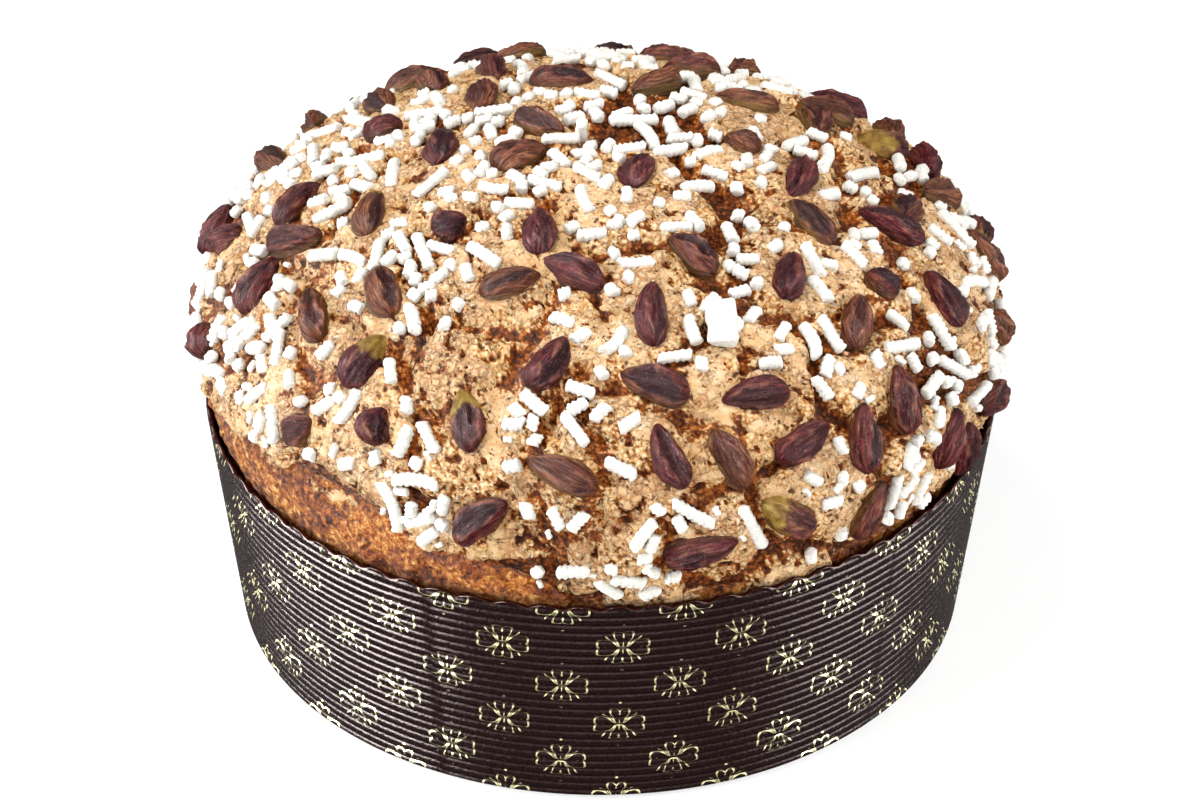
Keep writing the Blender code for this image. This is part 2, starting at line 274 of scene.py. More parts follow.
def around_axis(radius, azimuth, height):
    """Points at a radius from the upright axis and at a height, at each azimuth."""
    level = height + 0.0 * azimuth
    return np.stack([radius * np.cos(azimuth), radius * np.sin(azimuth), level], -1)


def unit(vectors):
    """The vectors at length one."""
    return vectors / np.linalg.norm(vectors, axis=-1, keepdims=True)


def dome_frames(azimuth, latitude):
    """Points of the dome with their level tangents, uphill tangents and normals."""
    step = 0.01
    here = dome_points(azimuth, latitude)
    level = unit(dome_points(azimuth + step, latitude) - here)
    uphill = unit(dome_points(azimuth, latitude + step) - here)
    normal = unit(np.cross(level, uphill))
    return here, level, np.cross(normal, level), normal


def latitude_at(height):
    """The dome's latitude at a height."""
    rise = np.where(height > WIDEST_HEIGHT, DOME_RISE, SKIRT_RISE)
    return np.arcsin(np.clip((height - WIDEST_HEIGHT) / rise, -1.0, 1.0))


def latitude_above(low, share):
    """The latitude at a share of the way from a low one to the top."""
    return low + share * (math.pi / 2 - low)


def edge_height(azimuth):
    """Height of the glaze's lower edge, inside the rim except where the crust is bare."""
    aside = math.remainder(azimuth - BARE_AZIMUTH, math.tau) / BARE_HALF_WIDTH
    if abs(aside) >= 1.0:
        return HIDDEN_EDGE_HEIGHT
    bare = (1.0 - aside ** 2) ** 0.75
    ragged = noise.noise(Vector((9 * math.cos(azimuth), 9 * math.sin(azimuth), 0.5)))
    return HIDDEN_EDGE_HEIGHT + (BARE_RISE + RAGGED_HEIGHT * ragged) * bare


def edge_heights(azimuths):
    """Heights of the glaze's lower edge at many azimuths."""
    return np.array([edge_height(azimuth) for azimuth in azimuths])


def relief(point):
    """Height of the glaze's crags above the smooth dome."""
    moved = point + noise.noise_vector(point / WARP_SIZE) * WARP
    near, next_near = noise.voronoi(moved / PLATE_SIZE)[0][:2]
    crevice = math.exp(-((next_near - near) / CREVICE_WIDTH) ** 2)
    cobble = noise.noise(point / COBBLE_SIZE)
    return COBBLE_HEIGHT * cobble - CREVICE_DEPTH * crevice


def random_place(draw):
    """A random azimuth and latitude on the glaze, even by area."""
    while True:
        azimuth = draw.uniform(-math.pi, math.pi)
        height = draw.uniform(0.0, 1.0)
        latitude = latitude_above(float(latitude_at(edge_height(azimuth))), height)
        slope = math.hypot(DOME_RADIUS * math.sin(latitude), DOME_RISE * math.cos(latitude))
        if draw.uniform(0.0, 1.0) < math.cos(latitude) * slope / DOME_RISE:
            return azimuth, latitude


class Topping:
    """One nut or sugar stick: where it lies, which way it points and how big it is."""

    def __init__(self, azimuth, latitude, heading, length, width):
        here, level, uphill, normal = (Vector(v) for v in dome_frames(azimuth, latitude))
        self.along = level * math.cos(heading) + uphill * math.sin(heading)
        self.across = normal.cross(self.along)
        self.normal = normal
        self.length = length
        self.width = width
        self.centre = here + normal * max(-0.5 * MM, min(0.6 * MM, relief(here)))
        half = max(0.0, length - width) / 2
        self.spine = [self.centre + self.along * half * share for share in (-1, -0.5, 0, 0.5, 1)]

    def distance(self, other):
        """The shortest distance between two spines, or between centres that are far apart."""
        apart = (self.centre - other.centre).length
        if apart > self.length + other.length:
            return apart
        return min((a - b).length for a in self.spine for b in other.spine)

    def clears_edge(self):
        """True where the whole piece lies on the glaze and above the case's rim."""
        reach = self.width / 2 + RIM_MARGIN
        rim = CASE_HEIGHT + SCALLOP_HEIGHT
        for point in (self.spine[0], self.spine[-1]):
            azimuth = math.atan2(point.y, point.x)
            if point.z - reach < max(rim, edge_height(azimuth)):
                return False
        return True

    def matrix(self):
        """The piece's own frame: x along it, y across it and z out of the glaze."""
        turn = Matrix((self.along, self.across, self.normal)).transposed().to_4x4()
        return Matrix.Translation(self.centre) @ turn


def scatter_nuts():
    """Spread the pistachios evenly over the glaze, each turned its own way."""
    draw = random.Random(NUT_SEED)
    nuts = []
    while len(nuts) < NUT_COUNT:
        best = None
        best_space = -1.0
        for attempt in range(CANDIDATES):
            azimuth, latitude = random_place(draw)
            length = draw.uniform(*NUT_LENGTH)
            if draw.uniform(0, 1) < BROKEN_SHARE:
                length *= BROKEN_LENGTH
            nut = Topping(azimuth, latitude, draw.uniform(0, math.pi),
                          length, draw.uniform(*NUT_WIDTH))
            space = min((nut.distance(other) for other in nuts), default=1.0)
            if nut.clears_edge() and space > NUT_GAP and space > best_space:
                best = nut
                best_space = space
        if best:
            nuts.append(best)
    return nuts


def is_sparse(azimuth, latitude, draw):
    """True for most places in the patch of glaze that carries little sugar."""
    aside = math.remainder(azimuth - SPARSE_AZIMUTH, math.tau) * math.cos(latitude)
    above = latitude - SPARSE_LATITUDE
    return draw.uniform(0, 1) < 0.8 * math.exp(-(aside ** 2 + above ** 2) / SPARSE_SPREAD ** 2)


def scatter_sugar(nuts):
    """Scatter the sugar sticks, mostly in clusters, clear of the nuts and of each other."""
    draw = random.Random(SUGAR_SEED)
    centres = [random_place(draw) for i in range(CLUSTER_COUNT)]
    sticks = []
    while len(sticks) < SUGAR_COUNT:
        azimuth, latitude = random_place(draw)
        if draw.uniform(0, 1) > SINGLE_SHARE:
            azimuth, latitude = draw.choice(centres)
            spread = CLUSTER_SPREAD / DOME_RADIUS
            azimuth += draw.gauss(0, spread) / max(0.2, math.cos(latitude))
            latitude = min(math.pi / 2, latitude + draw.gauss(0, 1.6 * spread))
        short = draw.uniform(0, 1) ** 1.7
        length = SUGAR_LENGTH[0] + (SUGAR_LENGTH[1] - SUGAR_LENGTH[0]) * short
        stick = Topping(azimuth, latitude, draw.uniform(0, math.pi), length,
                        2 * draw.uniform(*SUGAR_RADIUS))
        if not stick.clears_edge() or is_sparse(azimuth, latitude, draw):
            continue
        if any(stick.distance(nut) < (nut.width + stick.width) / 2 for nut in nuts):
            continue
        if any(stick.distance(other) < SUGAR_GAP for other in sticks):
            continue
        sticks.append(stick)
    return sticks


# Meshes from arrays


def mesh_object(name, points, faces, finish, body="root", **values):
    """A smooth object from lists of arrays, with named values at its points, riding on a body."""
    mesh = bpy.data.meshes.new(name)
    mesh.from_pydata(np.concatenate(points).tolist(), [], np.concatenate(faces).tolist())
    for label, numbers in values.items():
        layer = mesh.attributes.new(label, "FLOAT", "POINT")
        layer.data.foreach_set("value", np.asarray(numbers, np.float32))
    mesh.shade_smooth()
    mesh.materials.append(finish)
    made = bpy.data.objects.new(name, mesh)
    bpy.context.scene.collection.objects.link(made)
    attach(made, body)
    return made


def strip_faces(lower, upper):
    """Triangles between two closed rings, the second with as many points or half of them."""
    count = len(upper)
    after = np.roll(upper, -1)
    if len(lower) == count:
        following = np.roll(lower, -1)
        return np.concatenate([np.stack([lower, following, upper], 1),
                               np.stack([following, after, upper], 1)])
    left = lower[0::2]
    middle = lower[1::2]
    right = np.roll(left, -1)
    return np.concatenate([np.stack([left, middle, upper], 1),
                           np.stack([middle, after, upper], 1),
                           np.stack([middle, right, after], 1)])


def ring_faces(rings, columns):
    """Triangles between each of a stack of rings and the next."""
    ring = np.arange(columns)
    return [strip_faces(ring + i * columns, ring + (i + 1) * columns) for i in range(rings - 1)]


def dome_grid(columns, bands):
    """Azimuth and share of the way up for each point of a dome, with its triangles."""
    azimuths = [even_azimuths(columns)]
    shares = [np.zeros(columns)]
    faces = []
    ring = np.arange(columns)
    count = columns
    start = 0.0
    total = columns
    for end, steps in bands:
        for step in range(1, steps + 1):
            upper = np.arange(total, total + count)
            azimuths.append(even_azimuths(count))
            shares.append(np.full(count, start + (end - start) * step / steps))
            faces.append(strip_faces(ring, upper))
            ring = upper
            total += count
        start = end
        count //= 2
    azimuths.append(np.zeros(1))
    shares.append(np.ones(1))
    top = np.full(len(ring), total)
    faces.append(np.stack([ring, np.roll(ring, -1), top], 1))
    return np.concatenate(azimuths), np.concatenate(shares), np.concatenate(faces)


# Materials


class Finish:
    """A Principled material and short ways to add nodes to it."""

    def __init__(self, name, **settings):
        self.material = bpy.data.materials.new(name)
        self.material.use_nodes = True
        self.tree = self.material.node_tree
        self.shader = self.tree.nodes["Principled BSDF"]
        for label, value in settings.items():
            self.shader.inputs[label.replace("_", " ")].default_value = value
        self.place = self.add("TexCoord").outputs["Object"]

    def add(self, kind, sockets=None, **options):
        """Add a node, set its options, and set or link its sockets."""
        node = self.tree.nodes.new("ShaderNode" + kind)
        for label, value in options.items():
            setattr(node, label, value)
        for label, value in (sockets or {}).items():
            if isinstance(value, bpy.types.NodeSocket):
                self.tree.links.new(value, node.inputs[label])
            else:
                node.inputs[label].default_value = value
        return node

    def link(self, output, label):
        """Feed one of the shader's sockets."""
        self.tree.links.new(output, self.shader.inputs[label])

    def value(self, label):
        """A named value of the mesh."""
        return self.add("Attribute", attribute_name=label).outputs["Fac"]

    def noise(self, size, detail=3.0, roughness=0.55, place=None):
        """Noise with features of a size in metres."""
        return self.add("TexNoise", {
            "Vector": place or self.place, "Scale": 1.0 / size, "Detail": detail,
            "Roughness": roughness}).outputs["Fac"]

    def cells(self, size, place, feature="F1"):
        """Distances in a pattern of cells of a size in metres."""
        return self.add("TexVoronoi", {"Vector": place, "Scale": 1.0 / size},
                        feature=feature).outputs["Distance"]

    def math(self, operation, first, second):
        """Arithmetic on two values."""
        return self.add("Math", {0: first, 1: second}, operation=operation).outputs[0]

    def plus(self, first, second):
        """The sum of two values."""
        return self.math("ADD", first, second)

    def minus(self, first, second):
        """The first value less the second."""
        return self.math("SUBTRACT", first, second)

    def times(self, first, second):
        """The product of two values."""
        return self.math("MULTIPLY", first, second)

    def between(self, value, low, high, start=0.0, end=1.0):
        """A value mapped from one range to another, smoothly and held within it."""
        return self.add("MapRange", {
            "Value": value, "From Min": low, "From Max": high, "To Min": start, "To Max": end},
            interpolation_type="SMOOTHSTEP").outputs["Result"]

    def mix(self, share, first, second):
        """Mix two colours by a share."""
        return self.add("Mix", {0: share, 6: first, 7: second}, data_type="RGBA").outputs[2]

    def ramp(self, value, *stops):
        """Colours along a value, each from a position and display values from 0 to 255."""
        node = self.add("ValToRGB", {"Fac": value})
        points = node.color_ramp.elements
        while len(points) < len(stops):
            points.new(0.5)
        for point, (position, *levels) in zip(points, stops):
            point.position = position
            point.color = colour(*levels)
        return node.outputs["Color"]

    def bump(self, *layers):
        """Raise the surface by heights in metres, each given as a value and a height."""
        sockets = {}
        for value, height in layers:
            sockets.update(Height=value, Distance=height)
            sockets["Normal"] = self.add("Bump", sockets).outputs["Normal"]
        self.link(sockets["Normal"], "Normal")


def colour(red, green, blue):
    """A colour in display values from 0 to 255, as the linear value that a shader takes."""
    linear = []
    for level in (red, green, blue):
        share = level / 255
        linear.append(share / 12.92 if share <= 0.04045 else ((share + 0.055) / 1.055) ** 2.4)
    return (*linear, 1.0)


def glaze_finish():
    """Matte almond glaze: pale cobbled plates and granules, brown in its crevices, partly browning
    and partly painted shade.
    """
    made = Finish("almond_glaze", Roughness=0.8, Specular_IOR_Level=0.1)
    browning_and_shade = made.value("browning_and_shade")
    crumb = made.value("crumb")
    wobble = made.add("TexNoise", {"Vector": made.place, "Scale": 1 / (1.3 * MM), "Detail": 2.0})
    offset = made.add("VectorMath", {0: wobble.outputs["Color"], 1: (0.7 * MM, 0.7 * MM, 0.7 * MM)},
                      operation="MULTIPLY").outputs["Vector"]
    place = made.add("VectorMath", {0: made.place, 1: offset}).outputs["Vector"]
    grain = made.noise(1.0 * MM, 4.0, 0.62)
    coarse = made.noise(3.4 * MM, 4.0, 0.65)
    fine = made.minus(grain, 0.5)

    # Pale plates, cobbled in patches
    plate = made.ramp(made.noise(6 * MM, 5.0, 0.66),
                      (0.30, 187, 148, 103), (0.5, 203, 170, 128), (0.70, 211, 187, 152))
    plate = made.mix(made.between(grain, 0.50, 0.32, 0.0, 0.7), plate, colour(176, 123, 71))
    cobbled = made.between(made.noise(16 * MM), 0.46, 0.56)
    cobble_edge = made.cells(2.2 * MM, place, "DISTANCE_TO_EDGE")
    cobble_line = made.times(made.between(cobble_edge, 0.01, 0.16, 1.0, 0.0), cobbled)
    plate = made.mix(made.times(cobble_line, 0.7), plate, colour(160, 104, 58))

    # Granules between them, brown in the gaps between them, partly browning and partly painted
    # shade
    lump = made.plus(made.cells(1.25 * MM, place), fine)
    granules = made.ramp(lump, (0.14, 216, 196, 160), (0.38, 205, 173, 129),
                         (0.58, 189, 146, 93), (0.84, 128, 78, 36))
    rough = made.plus(made.times(crumb, 0.25), made.plus(coarse, made.times(fine, 0.5)))
    granular = made.between(rough, 0.52, 0.61)
    surface = made.mix(granular, plate, granules)

    # Caramel browning in the depths, darkened there also as painted shade
    toned = made.plus(browning_and_shade, made.times(crumb, 0.12))
    toned = made.plus(toned, made.times(made.minus(coarse, 0.5), 0.6))
    toned = made.plus(toned, made.times(fine, 0.7))
    mottled = made.plus(made.times(lump, 0.55), made.times(coarse, 0.5))
    caramel = made.ramp(made.plus(mottled, made.times(browning_and_shade, 0.35)),
                        (0.18, 218, 160, 96), (0.44, 180, 112, 50), (0.68, 126, 68, 24),
                        (0.94, 58, 26, 8))
    surface = made.mix(made.between(toned, 0.34, 0.50), surface, caramel)

    # Pits and pinholes, dark inside, partly browning and partly painted shade, and a dust of sugar
    pit_size = made.between(coarse, 0.42, 0.64, 0.05, 0.34)
    pit = made.between(made.minus(pit_size, made.cells(2.1 * MM, place)), -0.03, 0.05)
    hole_size = made.between(made.noise(5 * MM), 0.42, 0.60, 0.02, 0.27)
    hole = made.between(made.minus(hole_size, made.cells(1.3 * MM, place)), -0.03, 0.04)
    surface = made.mix(made.times(hole, 0.7), surface, colour(118, 66, 28))
    surface = made.mix(made.times(pit, 0.85), surface, colour(80, 38, 13))
    dusted = made.times(made.value("dust"), made.between(made.noise(0.9 * MM), 0.52, 0.62))
    dusted = made.times(dusted, made.between(toned, 0.1, 0.4, 1.0, 0.0))
    surface = made.mix(made.times(dusted, 0.5), surface, colour(240, 230, 214))
    made.link(surface, "Base Color")
    made.bump((made.times(made.between(cobble_edge, 0.0, 0.25), cobbled), 0.45 * MM),
              (made.times(made.minus(1.0, lump), granular), 0.4 * MM),
              (made.minus(1.0, pit), 0.5 * MM),
              (grain, 0.40 * MM))
    return made.material


def crust_finish():
    """Baked crust: fibrous orange brown with darker blotches."""
    made = Finish("baked_crust", Roughness=0.55, Specular_IOR_Level=0.12)
    squeezed = made.add("Mapping", {"Vector": made.place, "Scale": (1.0, 1.0, 0.85)})
    place = squeezed.outputs["Vector"]
    fibre = made.noise(1.5 * MM, 6.0, 0.75, place)
    blotch = made.noise(8 * MM, 4.0, 0.6)
    pore = made.between(made.cells(2.6 * MM, place), 0.12, 0.32, 1.0, 0.0)
    base = made.ramp(fibre, (0.38, 84, 30, 3), (0.45, 170, 86, 18), (0.54, 214, 140, 54),
                     (0.64, 252, 216, 146))
    dark = made.ramp(fibre, (0.40, 44, 13, 1), (0.50, 134, 58, 8), (0.62, 206, 126, 46))
    skin = made.mix(made.between(blotch, 0.45, 0.56, 0.0, 0.9), base, dark)
    # Pores, sunk and darker, partly browning and partly painted shade
    pitted = made.times(pore, made.between(made.noise(5 * MM), 0.45, 0.6))
    made.link(made.mix(made.times(pitted, 0.8), skin, colour(96, 42, 16)), "Base Color")
    made.bump((fibre, 1.8 * MM), (made.minus(1.0, pitted), 0.7 * MM))
    return made.material


def nut_finish():
    """Pistachio skin: dry purple and brown streaks, with green where it is torn."""
    made = Finish("pistachio_skin", Roughness=0.38, Specular_IOR_Level=0.09)
    tint = made.value("tint")
    around = made.add("CombineXYZ", {
        "X": made.times(made.value("along"), 0.35),
        "Y": made.times(made.value("side"), 1.5),
        "Z": made.times(tint, 37.0)}).outputs["Vector"]
    streak = made.add("TexNoise", {
        "Vector": around, "Scale": 6.0, "Detail": 6.0, "Roughness": 0.70}).outputs["Fac"]
    cloud = made.noise(3 * MM)
    purple = made.ramp(streak, (0.34, 26, 6, 12), (0.50, 82, 22, 32), (0.68, 154, 82, 74))
    brown = made.ramp(streak, (0.34, 36, 16, 11), (0.50, 106, 56, 36), (0.68, 182, 126, 86))
    skin = made.mix(made.between(made.plus(tint, cloud), 0.75, 1.35), purple, brown)
    olive = made.ramp(streak, (0.32, 54, 36, 18), (0.62, 138, 108, 56))
    side_share = made.times(made.value("low"), made.between(tint, 0.15, 0.8, 0.1, 0.9))
    skin = made.mix(side_share, skin, olive)
    # Painted highlight: paler colour along the ridges
    painted_ridge_highlight = made.times(made.value("ridge"), made.between(cloud, 0.42, 0.62, 0.0, 0.55))
    skin = made.mix(painted_ridge_highlight, skin, colour(184, 124, 100))
    dark = made.ramp(streak, (0.3, 12, 4, 9), (0.7, 52, 20, 30))
    skin = made.mix(made.times(made.value("crown"), 0.92), skin, dark)
    green = made.ramp(made.noise(2.5 * MM), (0.3, 110, 78, 28), (0.55, 162, 130, 56),
                      (0.75, 188, 164, 94))
    skin = made.mix(made.value("torn"), skin, green)
    speck = made.noise(0.6 * MM, 3.0, 0.7)
    skin = made.mix(made.between(speck, 0.54, 0.70, 0.0, 0.28), skin, colour(200, 152, 136))
    made.link(skin, "Base Color")
    made.bump((streak, 1.2 * MM), (speck, 0.16 * MM))
    return made.material


def sugar_finish():
    """Pressed white sugar: bright, dry and finely grained."""
    made = Finish("sugar", Roughness=0.75, Subsurface_Weight=0.25, Subsurface_Scale=1.0,
                  Subsurface_Radius=(0.8 * MM, 0.75 * MM, 0.7 * MM))
    grain = made.noise(0.6 * MM)
    made.link(made.ramp(grain, (0.3, 188, 185, 176), (0.6, 213, 210, 203)), "Base Color")
    made.bump((grain, 0.35 * MM))
    return made.material


def paper_finish():
    """Coated dark brown paper with a satin sheen, plain red brown inside."""
    made = Finish("case_paper", Specular_Tint=(1.0, 0.90, 0.87, 1.0))
    inside = made.value("inside")
    fibre = made.noise(0.9 * MM, 4.0, 0.7)
    outside = made.ramp(fibre, (0.3, 20, 6, 6), (0.7, 37, 16, 15))
    made.link(made.mix(inside, outside, colour(58, 20, 12)), "Base Color")
    made.link(made.between(fibre, 0.3, 0.7, 0.18, 0.32), "Roughness")
    made.link(made.between(inside, 0.0, 1.0, 0.20, 0.08), "Specular IOR Level")
    made.bump((fibre, 0.10 * MM))
    return made.material


def print_finish():
    """Pale gold ink, darker in the valleys between the ribs, partly thinner ink and partly painted
    shade.
    """
    made = Finish("gold_print", Roughness=0.30, Metallic=0.55)
    gold = made.ramp(made.noise(0.7 * MM), (0.3, 152, 146, 106), (0.6, 208, 202, 160))
    # Painted shade: the gold darkens towards the rib valleys
    thin_ink_and_valley_shade = made.between(made.value("dip"), 0.35, 0.95, 0.0, 0.75)
    made.link(made.mix(thin_ink_and_valley_shade, gold, colour(64, 56, 40)), "Base Color")
    return made.material


# Pieces


def gap_to(points, toppings):
    """Distance from each point to the nearest topping's side."""
    tree = kdtree.KDTree(sum(len(topping.spine) for topping in toppings))
    reach = []
    for topping in toppings:
        for point in topping.spine:
            tree.insert(point, len(reach))
            reach.append(topping.width / 2)
    tree.balance()
    gaps = np.empty(len(points))
    for i, point in enumerate(points):
        near, index, distance = tree.find(point)
        gaps[i] = distance - reach[index]
    return gaps


def front_hollow(points, ragged):
    """The torn hollow low at the front, from 0 outside it to 1 within."""
    turn = wrapped(np.arctan2(points[:, 1], points[:, 0]) - HOLLOW_AZIMUTH)
    aside = turn * RIM_RADIUS / HOLLOW_HALF_WIDTH
    above = (points[:, 2] - HOLLOW_HEIGHT) / HOLLOW_HALF_RISE
    return smooth(1.15 - aside ** 2 - above ** 2 + 0.5 * ragged, 0.0, 0.45)


def fine_relief(points, nuts, sticks):
    """Height of the glaze at points of the smooth dome, with values that steer its colour."""
    moved = warped(points)
    edge = cell_edge(moved, PLATE_SIZE)
    height = COBBLE_HEIGHT * noise_at(points, COBBLE_SIZE)
    height -= CREVICE_DEPTH * bell(edge, CREVICE_WIDTH)
    torn = smooth(noise_at(points, TORN_SIZE, shift=3.1) + 3.5 * points[:, 0], -0.15, 0.35)
    ragged = noise_at(points, RAGGED_SIZE, 3, 5.0)
    rough = noise_at(points, ROUGH_SIZE, 4, 12.0)

    # Cracks with raised lips, and smaller cracks between them
    near_edge = edge + 0.05 * ragged
    crack = bell(near_edge, CRACK_WIDTH, 6) * (0.45 + 0.55 * torn)
    lip = bell(near_edge - 0.17, 0.06) * (0.3 + 0.7 * torn)
    small_edge = cell_edge(moved + 0.3, SMALL_PLATE_SIZE) + 0.08 * ragged
    small = bell(small_edge, SMALL_CRACK_WIDTH, 4)
    small *= smooth(noise_at(points, 25 * MM, shift=8.0), 0.0, 0.35)

    # Crumbly patches with flaking borders, and pits
    field = noise_at(points, CRUMB_SIZE, 3, 17.0) + 0.12 * ragged
    field += 0.7 * bell(edge, 0.2) + 0.12 * torn
    crumb = smooth(field, 0.40, 0.50)
    flake = bell(field - 0.34, 0.07)
    pits = smooth(noise_at(points, PIT_SIZE, 2, 23.0), 0.36, 0.52)
    hollow = front_hollow(points, ragged)
    height += LIP_HEIGHT * lip - CRACK_DEPTH * crack - SMALL_CRACK_DEPTH * small
    height -= HOLLOW_DEPTH * hollow
    height += (SWELL_HEIGHT * noise_at(points, SWELL_SIZE, 2, 41.0) + ROUGH_HEIGHT * rough
               + crumb * (CRUMB_HEIGHT * rough - CRUMB_SINK) + FLAKE_HEIGHT * flake)
    height -= PIT_DEPTH * pits

    # A low collar around each topping, and painted shade where the glaze meets it
    gap = np.minimum(gap_to(points, nuts), gap_to(points, sticks))
    held = bell(np.maximum(gap, 0), 1.6 * MM)
    # Painted shade: a dark rim in the glaze colour against each topping
    painted_contact_shade = bell(gap - 0.2 * MM, 0.6 * MM) * smooth(ragged, -0.2, 0.3)
    collar = bell(gap - 1.0 * MM, 0.7 * MM)
    height = height * (1 - 0.6 * held) + COLLAR_HEIGHT * collar
    # Browning and painted shade: cracks, pits, crumbs and the hollow darken the colour
    browning_and_shade = 0.9 * crack + 0.6 * small + 0.75 * pits + 0.5 * crumb * np.clip(-1.6 * rough, 0, 1)
    browning_and_shade = np.clip((browning_and_shade + 0.7 * hollow) * (1 - 0.5 * held) + 0.45 * painted_contact_shade, 0, 1)
    height = np.maximum(height, DEEPEST)
    dust = bell(np.maximum(gap_to(points, sticks), 0), 3 * MM)
    return height, {"browning_and_shade": browning_and_shade, "crumb": crumb, "dust": dust}


def make_glaze(nuts, sticks):
    """The glaze: a closed crackled skin with a ragged rolled lower edge."""
    azimuth, share, faces = dome_grid(GLAZE_COLUMNS, GLAZE_BANDS)
    edges = edge_heights(azimuth)
    ragged = noise_at(around_axis(DOME_RADIUS, azimuth, 0.0), 7 * MM, 5, 31.0)
    bare = smooth(edges, HIDDEN_EDGE_HEIGHT, HIDDEN_EDGE_HEIGHT + 6 * MM)
    latitude = latitude_above(latitude_at(edges + 3.2 * MM * ragged * bare), share)
    here, level, uphill, normal = dome_frames(azimuth, latitude)
    height, values = fine_relief(here, nuts, sticks)
    above_edge = share * 130 * MM
    roll = np.clip(1 - above_edge / EDGE_ROLL, 0, 1)
    height -= CRUST_INSET * (1 - np.sqrt(1 - roll ** 2))
    height += EDGE_LIP_HEIGHT * bell(above_edge - 1.8 * MM, 1.2 * MM) * bare
    outer = here + normal * height[:, None]
    back_azimuth, back_share, back_faces = dome_grid(GLAZE_COLUMNS, GLAZE_BACK_BANDS)
    back_low = latitude_at(edge_heights(back_azimuth))
    inner = dome_points(back_azimuth, latitude_above(back_low, back_share), GLAZE_THICKNESS)
    first = len(outer)
    rim = strip_faces(np.arange(GLAZE_COLUMNS) + first, np.arange(GLAZE_COLUMNS))
    back = back_faces[:, ::-1] + first
    hidden = {"browning_and_shade": 0.6, "crumb": 1.0, "dust": 0.0}
    values = {label: np.append(numbers, np.full(len(inner), hidden[label]))
              for label, numbers in values.items()}
    made = mesh_object("glaze_skin", [outer, inner], [faces, rim, back], glaze_finish(), **values)
    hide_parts("glaze")


def make_loaf():
    """The crust: it fills the case, and shows between the rim and the glaze."""
    azimuth = even_azimuths(LOAF_COLUMNS)
    tops = edge_heights(azimuth) + 3.5 * MM
    corner = BASE_ROUNDING + CLEARANCE
    bottom = PAPER + CLEARANCE
    rings = []
    for height, inward in ((bottom, corner), (bottom + corner, 0.0), (LOAF_WAIST, 0.0)):
        radius = case_radius(height) - PAPER - CLEARANCE - RIB_DEPTH - inward
        rings.append(around_axis(radius, azimuth, height))
    for step in range(1, LOAF_RINGS + 1):
        height = LOAF_WAIST + (tops - LOAF_WAIST) * step / LOAF_RINGS
        inset = CRUST_INSET + (RIM_INSET - CRUST_INSET) * smooth(tops - height, 0.0, 12 * MM)
        bulge = dome_points(azimuth, latitude_at(height), inset)
        radius = np.hypot(bulge[:, 0], bulge[:, 1])
        inside_case = case_radius(np.minimum(height, CASE_HEIGHT)) - PAPER - CLEARANCE - RIB_DEPTH
        free = smooth(height, CASE_HEIGHT, CASE_HEIGHT + 3 * MM)
        radius = np.minimum(radius, inside_case + 4 * MM * free)
        points = around_axis(radius, azimuth, height)
        bumps = (BUMP_HEIGHT * noise_at(points * (1, 1, 0.7), BUMP_SIZE, 4)
                 + BROAD_BUMP_HEIGHT * noise_at(points, BROAD_BUMP_SIZE))
        bumps = bumps * smooth(height, 55 * MM, 66 * MM) - 0.2 * MM
        rings.append(points + unit(points * (1, 1, 0)) * bumps[:, None])
    low = latitude_at(tops)
    cap_azimuth, cap_share, cap_faces = dome_grid(LOAF_COLUMNS, ((0.02, 1), (0.1, 1), (0.8, 5)))
    edge = np.interp(cap_azimuth, np.append(azimuth, math.tau), np.append(low, low[0]))
    cap = dome_points(cap_azimuth, latitude_above(edge, cap_share), GLAZE_THICKNESS + CLEARANCE)
    cap[:, 2] -= 0.6 * MM
    faces = ring_faces(len(rings) + 1, LOAF_COLUMNS)
    first = len(rings) * LOAF_COLUMNS
    faces.append(cap_faces + first)
    base = np.arange(LOAF_COLUMNS)
    faces.append(np.stack([np.roll(base, -1), base, np.full(LOAF_COLUMNS, first + len(cap))], 1))
    made = mesh_object("loaf_crust", rings + [cap, [[0.0, 0.0, bottom]]], faces, crust_finish())
    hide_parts("loaf")


def rib(height):
    """How far the paper's corrugation dips below its crests at a height, from 0 to 1."""
    phase = (height - RIB_TOP) / RIB_PITCH * math.tau
    return 1 - (0.5 + 0.5 * np.cos(phase)) ** 0.7


def rim_height(azimuth):
    """Height of the case's scalloped rim."""
    return CASE_HEIGHT + SCALLOP_HEIGHT * np.cos(SCALLOPS * azimuth)


def seam(azimuth):
    """The paper's step where its ends overlap, fading along one side."""
    step = 0.0
    for place in SEAM_AZIMUTHS:
        past = wrapped(azimuth - place)
        step = step + np.where(past > 0, np.exp(-past / SEAM_FADE), 0.0)
    return step


def case_surface(azimuth, height):
    """Points of the ribbed outer wall of the case."""
    overlap = seam(azimuth)
    wander = WALL_WANDER * np.sin(3 * azimuth + 1.0) * height / CASE_HEIGHT
    dip = RIB_DEPTH * rib(height + SEAM_SHIFT * overlap)
    return around_axis(case_radius(height) - dip - SEAM_STEP * overlap + wander, azimuth, height)


